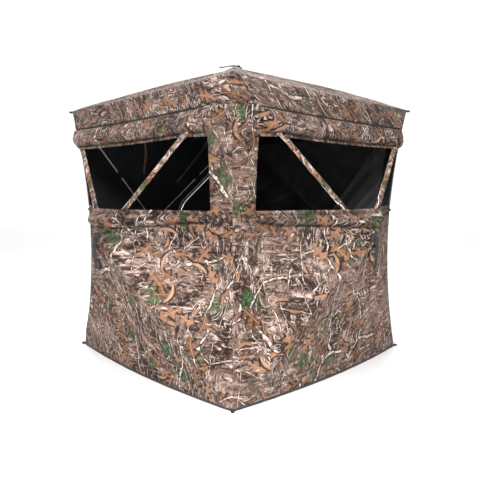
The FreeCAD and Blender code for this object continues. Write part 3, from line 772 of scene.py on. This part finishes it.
for wall in WALL_TURN:
    build = flat_patch(left_seam, right_seam, SEAM_Z, EAVE_Z, 0.0085)
    wall_piece(f"{wall}_skirt_cloth", wall, build, "roof_skirt", skew=0.9)

# ---- Roof --------------------------------------------------------------------------------------
# One low pyramid of the same cloth, pulled up by the roof hub over four bowed poles.

ROOF_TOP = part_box("roof_hub_cap")[0][2] + CAP_DROP
ROOF_BOW = 0.018


def plan_place(x, y):
    """How far out to the eaves a point of the plan is, and how far it is from the nearest ridge."""
    share = max(abs(x), abs(y)) / EAVE
    across = min(abs(x), abs(y)) / EAVE
    return share, 1 - (across / max(share, 1e-4)) ** 2


def roof_height(x, y):
    """Height of the taut roof over a point of the plan."""
    share, off_ridge = plan_place(x, y)
    slack = 0.75 * SAG * off_ridge * 4 * share * (1 - share)
    bow = ROOF_BOW * 4 * share * (1 - share)
    away = math.hypot(x, y)
    around = math.atan2(y, x)
    pleats = 0.005 * math.exp(-away / 0.13) * math.sin(12 * around)
    waves = 0.006 * noise.noise((x * 3, y * 3, 21.0)) + 0.003 * noise.noise((x * 9, y * 8, 22.0))
    held = min((1 - share) / 0.06, 1)
    return ROOF_TOP + (EAVE_Z - ROOF_TOP) * share - slack + bow + (pleats + waves) * held


build = bmesh.new()
bmesh.ops.create_grid(build, x_segments=160, y_segments=160, size=EAVE)
lay_out(build, lambda spot: (spot.x * 0.8 + spot.y * 0.6 + 7.3, spot.y * 0.8 - spot.x * 0.6 + 2.2))
for vert in build.verts:
    x, y = vert.co.x, vert.co.y
    share, off_ridge = plan_place(x, y)
    inset = 1 - EAVE_DIP / EAVE * off_ridge * share
    vert.co.z = roof_height(x, y)
    vert.co.x *= inset if abs(x) >= abs(y) else 1
    vert.co.y *= inset if abs(y) >= abs(x) else 1
roof = add_piece("roof_cloth", build, [PRINTED_CLOTH, BLACK_COATING])
back_with_coating(roof)
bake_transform(roof)
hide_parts("roof_panel")

# ---- Door --------------------------------------------------------------------------------------
# A cloth band round the opening, a leaf up to the fold line at its back edge, and a coil zipper on tape behind the
# band. Band and leaf are cut from the wall's cloth and hang in the same surface.

HINGE_FOLD = 0.024
TAPE_WIDE = 0.024


def door_piece(name, outer, inner, node):
    """Printed cloth inside one outline and outside another, hung on the left wall."""
    build = flat_patch(lambda z: -0.71, lambda z: -0.02, 0.02, SEAM_Z + 0.06, WALL_GRID)
    cut_outline(build, outer, True)
    if inner:
        cut_outline(build, inner, False)
    hang_on_wall(build, "left", no_relief)
    piece = add_piece(name, build, [PRINTED_CLOTH, BLACK_COATING])
    back_with_coating(piece)
    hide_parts(node)
    return piece


opening_edge = door_outline(DOOR_OFFSET, DOOR_HINGE, DOOR_ROUND)
leaf_edge = door_outline(DOOR_OFFSET + DOOR_GAP, DOOR_HINGE - 0.001, DOOR_ROUND - DOOR_GAP)
door_band = door_piece("door_band", band_edge(), opening_edge, "door_surround")
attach(door_band, "door_frame")
door_leaf = door_piece("door_leaf", leaf_edge, None, "door_panel")
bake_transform(door_leaf)

# ---- Webbing, tape and binding -----------------------------------------------------------------
# Woven ribbon in the blind: piping round the door, the zipper's two tapes and coil, the pull straps
# on the hub caps, the tie and stake loops, the pole pockets and the rolled binding of the hem.


def woven_finish(name, dark, light, ribs=1500.0, roughness=0.85):
    """Woven tape: ribs across the ribbon and a mottled yarn colour, from its own UV in metres."""
    finish, tree, shader = new_finish(name)
    where = place_node(tree, "ShaderNodeUVMap", uv_map="cloth").outputs["UV"]
    mottle = noise_value(tree, where, 60.0, 4.0)
    tree.links.new(tint(tree, fade(tree, mottle, 0.3, 0.7), dark, light), shader.inputs["Base Color"])
    shader.inputs["Roughness"].default_value = roughness
    spot = place_node(tree, "ShaderNodeSeparateXYZ", {"Vector": where})
    rib = sum_up(tree, "SINE", times(tree, spot.outputs["X"], ribs))
    bump = place_node(tree, "ShaderNodeBump", {"Height": rib, "Distance": 0.0004, "Strength": 0.5})
    tree.links.new(bump.outputs["Normal"], shader.inputs["Normal"])
    return finish


BLACK_WEBBING = woven_finish("black_webbing", (0.010, 0.010, 0.011), (0.034, 0.032, 0.032))
HEM_BINDING = woven_finish("hem_binding", (0.030, 0.024, 0.026), (0.068, 0.055, 0.058), ribs=700.0)
TAN_TAPE = woven_finish("tan_tape", (0.38, 0.31, 0.23), (0.56, 0.47, 0.36))
GREY_COIL = woven_finish("grey_coil", (0.055, 0.055, 0.058), (0.115, 0.112, 0.108), ribs=2400.0, roughness=0.45)
STRAP_PRINT = woven_finish("strap_print", (0.060, 0.038, 0.026), (0.200, 0.125, 0.080), ribs=900.0)


RIBBON_COLUMNS = 4


def thicken(piece, thick, offset=0):
    """Gives a thin piece its thickness."""
    shell = piece.modifiers.new("thickness", "SOLIDIFY")
    shell.thickness = thick
    shell.offset = offset


def ribbon(name, path, across, width, finish, thick):
    """A ribbon along a path. across is one vector, or one for each point of the path."""
    build = bmesh.new()
    layer = build.loops.layers.uv.new("cloth")
    sides = across if isinstance(across, list) else [across] * len(path)
    run = 0.0
    places = {}
    rows = []
    for index, point in enumerate(path):
        run += (point - path[index - 1]).length if index else 0.0
        side = sides[index].normalized()
        row = []
        for column in range(RIBBON_COLUMNS + 1):
            vert = build.verts.new(point + side * width * (column / RIBBON_COLUMNS - 0.5))
            places[vert] = (run, width * column / RIBBON_COLUMNS)
            row.append(vert)
        rows.append(row)
    for low, high in zip(rows, rows[1:]):
        for column in range(RIBBON_COLUMNS):
            face = build.faces.new((low[column], low[column + 1], high[column + 1], high[column]))
            for loop in face.loops:
                loop[layer].uv = places[loop.vert]
    piece = add_piece(name, build, [finish])
    thicken(piece, thick)
    return piece


def on_wall(x, z, wall, inward=0.0):
    """A place on a wall's cloth, or behind it."""
    return turned_to(wall) @ Vector((x, -(wall_depth(x, z) + wall_crumple(x, z, WALL_SEED[wall]) - inward), z))


def wall_normal(x, z, wall):
    """Outward normal of the taut wall."""
    step = 0.004
    along = on_wall(x + step, z, wall) - on_wall(x - step, z, wall)
    up = on_wall(x, z + step, wall) - on_wall(x, z - step, wall)
    return along.cross(up).normalized()


def along_door_wall(spots, outward):
    """A path on the left wall, its normals and the ribbon's way across; outward is negative inside."""
    path = [on_wall(spot.x, spot.y, "left", -outward) for spot in spots]
    normals = [wall_normal(spot.x, spot.y, "left") for spot in spots]
    across = []
    for index, normal in enumerate(normals):
        ahead = path[min(index + 1, len(path) - 1)] - path[max(index - 1, 0)]
        across.append(ahead.cross(normal).normalized())
    return path, normals, across


def divided(corners, step=0.02):
    """More places along a broken line."""
    spots = []
    for start, end in zip(corners, corners[1:]):
        count = max(1, round((end - start).length / step))
        spots += [start.lerp(end, index / count) for index in range(count)]
    return spots + [corners[-1]]


FINE_ARC = 22         # steps in the door's nose for tape and piping
PIPING_WIDE = 0.011

piping_line = band_edge(FINE_ARC)
path, _, across = along_door_wall(divided(piping_line + [piping_line[0]]), 0.0012)
door_piping = ribbon("door_piping", path, across, PIPING_WIDE, HEM_BINDING, 0.0016)
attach(door_piping, "door_frame")

zipper_line = door_outline(
    DOOR_OFFSET - TAPE_WIDE / 2, DOOR_HINGE - HINGE_FOLD, DOOR_ROUND + TAPE_WIDE / 2, FINE_ARC
)
middle, normals, sides = along_door_wall(divided(zipper_line, 0.015), -(CLOTH + 0.0022))
for part, shift, width, finish, drop, thick in (
    ("outer_tape", 0.0074, 0.0102, TAN_TAPE, 0.0, 0.0009),
    ("inner_tape", -0.0074, 0.0102, TAN_TAPE, 0.0, 0.0009),
    ("coil", 0.0, 0.0062, GREY_COIL, 0.0016, 0.0026),
):
    path = [place + side * shift - normal * drop for place, side, normal in zip(middle, sides, normals)]
    tape = ribbon(f"zipper_{part}", path, sides, width, finish, thick)
    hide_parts("zipper_track")
    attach(tape, "door_frame")

# Pull straps: each goes down from its hub's bar, round it and down again, the two runs nearly together.

joint_of = {joint["name"]: joint for joint in frame["joints"]}
STRAP_REACH = 0.160
STRAP_WIDE = 0.025
STRAP_STEPS = 14
BAR_ROUND = 0.0040    # from the bar's middle to the webbing's

for panel in (*WALL_TURN, "roof"):
    joint = joint_of[f"{panel}_pull_strap_swing"]
    bar = Vector(joint["pos_m"])
    across = Vector(joint["axis"]).normalized()
    low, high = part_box(f"{panel}_pull_strap")
    hang = (Vector(low) + Vector(high)) / 2 - bar
    hang = (hang - across * hang.dot(across)).normalized()
    out = across.cross(hang)
    path = []
    for step in range(STRAP_STEPS + 1):
        down = STRAP_REACH * (1 - step / STRAP_STEPS)
        apart = 0.0012 + 0.0028 * max(0, 1 - down / 0.02)
        path.append(bar + hang * down + out * (apart + 0.004 * math.sin(down * 30)))
    for step in range(1, 8):
        angle = math.pi * step / 8
        path.append(bar + out * BAR_ROUND * math.cos(angle) - hang * BAR_ROUND * math.sin(angle))
    for step in range(STRAP_STEPS + 1):
        down = STRAP_REACH * step / STRAP_STEPS
        apart = 0.0012 + 0.0028 * max(0, 1 - down / 0.02)
        path.append(bar + hang * down - out * (apart - 0.004 * math.sin(down * 30)))
    strap = ribbon(f"{panel}_pull_webbing", path, across, STRAP_WIDE, BLACK_WEBBING, 0.0014)
    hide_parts(f"{panel}_pull_strap")
    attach(strap, f"{panel}_pull_strap")

# Loops at the eight corners for guy lines and stakes, and a pocket inside each for its pole tips.

LOOP_WIDE = 0.010
LOOP_HALF = 0.008
POCKET_SIDE = 0.034

for level, half, height in (("eave", EAVE, EAVE_Z - 0.006), ("ground", BASE, 0.0062)):
    for corner in range(4):
        angle = math.radians(45 + 90 * corner)
        away = Vector((math.cos(angle), math.sin(angle), 0))
        beside = Vector((-away.y, away.x, 0))
        root = Vector((math.copysign(half, away.x), math.copysign(half, away.y), height))
        path = [root - away * 0.004 + beside * LOOP_HALF]
        for step in range(9):
            turn = math.pi * step / 8
            path.append(
                root + away * (0.010 + LOOP_HALF * math.sin(turn)) + beside * LOOP_HALF * math.cos(turn)
            )
        path.append(root - away * 0.004 - beside * LOOP_HALF)
        loop = ribbon(f"{level}_loop_{corner}", path, Vector((0, 0, 1)), LOOP_WIDE, BLACK_WEBBING, 0.002)
        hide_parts("tie_loops")
        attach(loop, "shell")

for level, half, height, up in (("eave", EAVE, EAVE_Z, -1), ("ground", BASE, 0.0, 1)):
    for corner in range(4):
        angle = math.radians(45 + 90 * corner)
        toward = Vector((-math.copysign(1, math.cos(angle)), -math.copysign(1, math.sin(angle)), 0))
        inset = 0.016 if up < 0 else 0.009
        tip = Vector((math.copysign(half, math.cos(angle)), math.copysign(half, math.sin(angle)), height))
        tip += toward * inset + Vector((0, 0, up * (0.014 if up < 0 else 0.008)))
        build = bmesh.new()
        ends = [tip]
        for way in ((toward.x, 0, 0), (0, toward.y, 0), (0, 0, up)):
            ends.append(tip + Vector(way) * POCKET_SIDE)
        corners = [build.verts.new(place) for place in ends]
        for a, b in ((1, 2), (2, 3), (3, 1)):
            build.faces.new((corners[0], corners[a], corners[b]))
        bmesh.ops.recalc_face_normals(build, faces=build.faces)
        bmesh.ops.subdivide_edges(build, edges=build.edges[:], cuts=3, use_grid_fill=True)
        lay_out(build, lambda spot: (spot.x + spot.z, spot.y))
        pocket = add_piece(f"{level}_pocket_{corner}", build, [BLACK_WEBBING])
        thicken(pocket, 0.0016, -1)
        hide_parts("corner_pockets")
        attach(pocket, "shell")

for wall in WALL_TURN:
    turn = turned_to(wall)
    path = []
    for step in range(61):
        x = BASE * (step / 30 - 1)
        wave = 0.0015 * noise.noise((x * 14, 3.0, WALL_SEED[wall]))
        path.append(turn @ Vector((x, -(BASE + BOW * (1 - (x / BASE) ** 2) + 0.0005 + wave), 0.0070)))
    binding = ribbon(f"{wall}_hem_binding", path, Vector((0, 0, 1)), 0.0125, HEM_BINDING, 0.0042)
    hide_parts("ground_hem")
    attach(binding, "shell")

# ---- Pole sleeves and fittings -----------------------------------------------------------------
# Where a pole crosses an open window it runs in a flat sleeve of the printed cloth. Each pole is two
# glass-fibre rods joined by a black ferrule at its middle.

pole_lines = {}
for node, holder in frame["nodes"].items():
    if "_pole_" in node:
        pin = Vector(joint_of[f"{node}_swing"]["pos_m"])
        points = [holder.matrix_world @ vert.co for vert in holder.data.vertices]
        reach = max((point - pin).length for point in points)
        far = [point for point in points if (point - pin).length > reach - 0.002]
        tip = sum(far, Vector()) / len(far)
        pole_lines[node] = (pin, (tip - pin).normalized(), reach)


TUBE_SIDES = 24
SLEEVE_ROUND = 0.09    # cloth round a sleeve, for the print


def tube(name, centre_line, axes, radii, materials):
    """A tube with its own cross-section at each place: two axes and their two radii."""
    build = bmesh.new()
    layer = build.loops.layers.uv.new("cloth")
    rings = []
    places = {}
    run = 0.0
    for index, centre in enumerate(centre_line):
        run += (centre - centre_line[index - 1]).length if index else 0.0
        wide, deep = radii[index]
        ring = []
        for side in range(TUBE_SIDES):
            angle = 2 * math.pi * side / TUBE_SIDES
            place = centre + axes[0] * wide * math.cos(angle) + axes[1] * deep * math.sin(angle)
            vert = build.verts.new(place)
            places[vert] = (side / TUBE_SIDES * SLEEVE_ROUND, run)
            ring.append(vert)
        rings.append(ring)
    for low, high in zip(rings, rings[1:]):
        for side in range(TUBE_SIDES):
            ahead = (side + 1) % TUBE_SIDES
            face = build.faces.new((low[side], low[ahead], high[ahead], high[side]))
            for loop in face.loops:
                u, v = places[loop.vert]
                closing = ahead == 0 and loop.vert in (low[0], high[0])
                loop[layer].uv = (SLEEVE_ROUND if closing else u, v)
    bmesh.ops.recalc_face_normals(build, faces=build.faces)
    return add_piece(name, build, materials), run


SLEEVE_TUCK = 0.030    # a sleeve's end that lies behind a band

for wall in ("front", "right"):
    for side in ("right", "left"):
        pin, along, reach = pole_lines[f"{wall}_pole_upper_{side}"]
        out = (turned_to(wall) @ Vector((0, -1, 0.35))).normalized()
        flat_way = along.cross(out).normalized()
        deep_way = flat_way.cross(along).normalized()
        first = (SILL_Z - SLEEVE_TUCK - pin.z) / along.z
        last = (HEAD_Z + SLEEVE_TUCK - pin.z) / along.z
        centres, radii = [], []
        for step in range(49):
            share = step / 48
            spot = pin + along * (first + (last - first) * share)
            ripple = noise.noise((share * 14, WALL_SEED[wall], 2.0 if side == "left" else 5.0))
            flare = max(0.0, abs(share - 0.5) * 2 - 0.82) / 0.18
            centres.append(spot + flat_way * 0.0025 * ripple + deep_way * 0.002)
            wide = 0.0185 + 0.0016 * ripple + 0.008 * flare
            radii.append((wide, 0.0075 + 0.0012 * noise.noise((share * 22, 1, 3))))
        sleeve, run = tube(
            f"{wall}_sleeve_{side}", centres, (flat_way, deep_way), radii, [PRINTED_CLOTH, BLACK_COATING]
        )
        back_with_coating(sleeve)
        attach(sleeve, f"{wall}_pole_upper_{side}")

def hard_finish(name, dark, light, roughness, metallic=0.0, grain=120.0):
    """A hard surface with a fine grain in colour, roughness and height, from Object coordinates."""
    finish, tree, shader = new_finish(name)
    where = place_node(tree, "ShaderNodeTexCoord").outputs["Object"]
    mottle = noise_value(tree, where, grain, 4.0)
    tree.links.new(tint(tree, fade(tree, mottle, 0.3, 0.7), dark, light), shader.inputs["Base Color"])
    rough = place_node(
        tree, "ShaderNodeMapRange", {"Value": mottle, "To Min": roughness - 0.08, "To Max": roughness + 0.1}
    )
    tree.links.new(rough.outputs["Result"], shader.inputs["Roughness"])
    shader.inputs["Metallic"].default_value = metallic
    bump = place_node(tree, "ShaderNodeBump", {"Height": mottle, "Distance": 0.0003, "Strength": 0.4})
    tree.links.new(bump.outputs["Normal"], shader.inputs["Normal"])
    return finish


BLACK_NYLON = hard_finish("black_nylon", (0.012, 0.012, 0.013), (0.028, 0.028, 0.03), 0.45)
FERRULE_PROFILE = (    # place along the pole from its middle, and radius
    (-0.029, 0.0052), (-0.028, 0.0066), (-0.024, 0.0069), (0.024, 0.0069), (0.028, 0.0066), (0.029, 0.0052)
)

for node, (pin, along, reach) in pole_lines.items():
    side = along.orthogonal().normalized()
    up = along.cross(side)
    middle = pin + along * (reach / 2)
    centres = [middle + along * place for place, _ in FERRULE_PROFILE]
    radii = [(radius, radius) for _, radius in FERRULE_PROFILE]
    ferrule, _ = tube(f"{node}_ferrule", centres, (side, up), radii, [BLACK_NYLON])
    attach(ferrule, node)

# ---- Inside the blind --------------------------------------------------------------------------
# A loose black cover is let down over the back wall's poles, and two tie straps hang inside the
# left wall.


def lining(tree, where):
    """Black lining with a soft grey bloom where it is creased."""
    rub = noise_value(tree, where, 7.0, 5.0)
    return tint(tree, fade(tree, rub, 0.35, 0.75), (0.013, 0.011, 0.012), (0.030, 0.026, 0.028))


COVER_CLOTH = cloth_finish("cover_cloth", lining, 0.42, 0.3, crease=0.008)
COVER_LOW, COVER_HIGH = 0.70, 1.425
COVER_INWARD = 0.075
COVER_FOLDS = 0.045
COVER_MARGIN = 0.05    # between the cover's side and the corner seam

build = flat_patch(
    lambda z: COVER_MARGIN - seam_half(z), lambda z: seam_half(z) - COVER_MARGIN, COVER_LOW, COVER_HIGH, 0.011
)
lay_out(build, lambda spot: (spot.x, spot.y))
for vert in build.verts:
    x, z = vert.co.x, vert.co.y
    drop = (COVER_HIGH - z) / (COVER_HIGH - COVER_LOW)
    slant = x * 0.62 + z * 0.80
    wide_folds = noise.noise((slant * 7.5, (z - x) * 1.1, 31.0))
    small_folds = noise.noise((slant * 17, (z - x) * 2.0, 33.0))
    fold = COVER_FOLDS * drop**0.6 * (0.7 * wide_folds + 0.45 * small_folds)
    vert.co = (x, -(wall_depth(x, z) - COVER_INWARD - COVER_FOLDS * 0.6 * drop + fold), z)
turn = Matrix.Rotation(math.radians(WALL_TURN["back"]), 4, "Z")
bmesh.ops.transform(build, matrix=turn, verts=build.verts)
cover = add_piece("back_window_cover", build, [COVER_CLOTH])
thicken(cover, 0.0008)
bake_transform(cover)

STRAP_LINES = (((0.25, 1.40), (0.20, 1.17)), ((-0.35, 1.46), (-0.11, 1.11)))    # top and foot, X and Z

for index, (top, foot) in enumerate(STRAP_LINES):
    path = []
    for step in range(13):
        share = step / 12
        x = top[0] + (foot[0] - top[0]) * share
        z = top[1] + (foot[1] - top[1]) * share
        path.append(on_wall(x, z, "left", 0.075 + 0.012 * math.sin(share * 5)))
    strap = ribbon(f"tie_strap_{index}", path, Vector((0.25, 1, 0)), 0.018, STRAP_PRINT, 0.0014)
    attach(strap, "shell")

# ---- Hubs, pins, poles and slider --------------------------------------------------------------
# Hub cores and caps are black moulded nylon, pins plain steel, poles light grey pultruded rod, and
# the zipper's slider is black zinc. These keep their own solids and take their finishes here.

PIN_STEEL = hard_finish("pin_steel", (0.35, 0.35, 0.36), (0.6, 0.6, 0.6), 0.35, metallic=1.0)
GREY_ROD = hard_finish("grey_rod", (0.52, 0.54, 0.54), (0.80, 0.82, 0.82), 0.4, grain=300.0)
BLACK_ZINC = hard_finish("black_zinc", (0.012, 0.012, 0.012), (0.04, 0.04, 0.04), 0.35, metallic=0.6)

for node, holder in frame["nodes"].items():
    if "_pole_" in node:
        finish = GREY_ROD
    elif node.endswith("_hub") or node.endswith("_hub_cap"):
        finish = BLACK_NYLON
    elif node.endswith("_hub_pins"):
        finish = PIN_STEEL
    elif node == "zipper_slider":
        finish = BLACK_ZINC
    else:
        continue    # a finished piece stands in for it
    holder.data.materials.clear()
    holder.data.materials.append(finish)
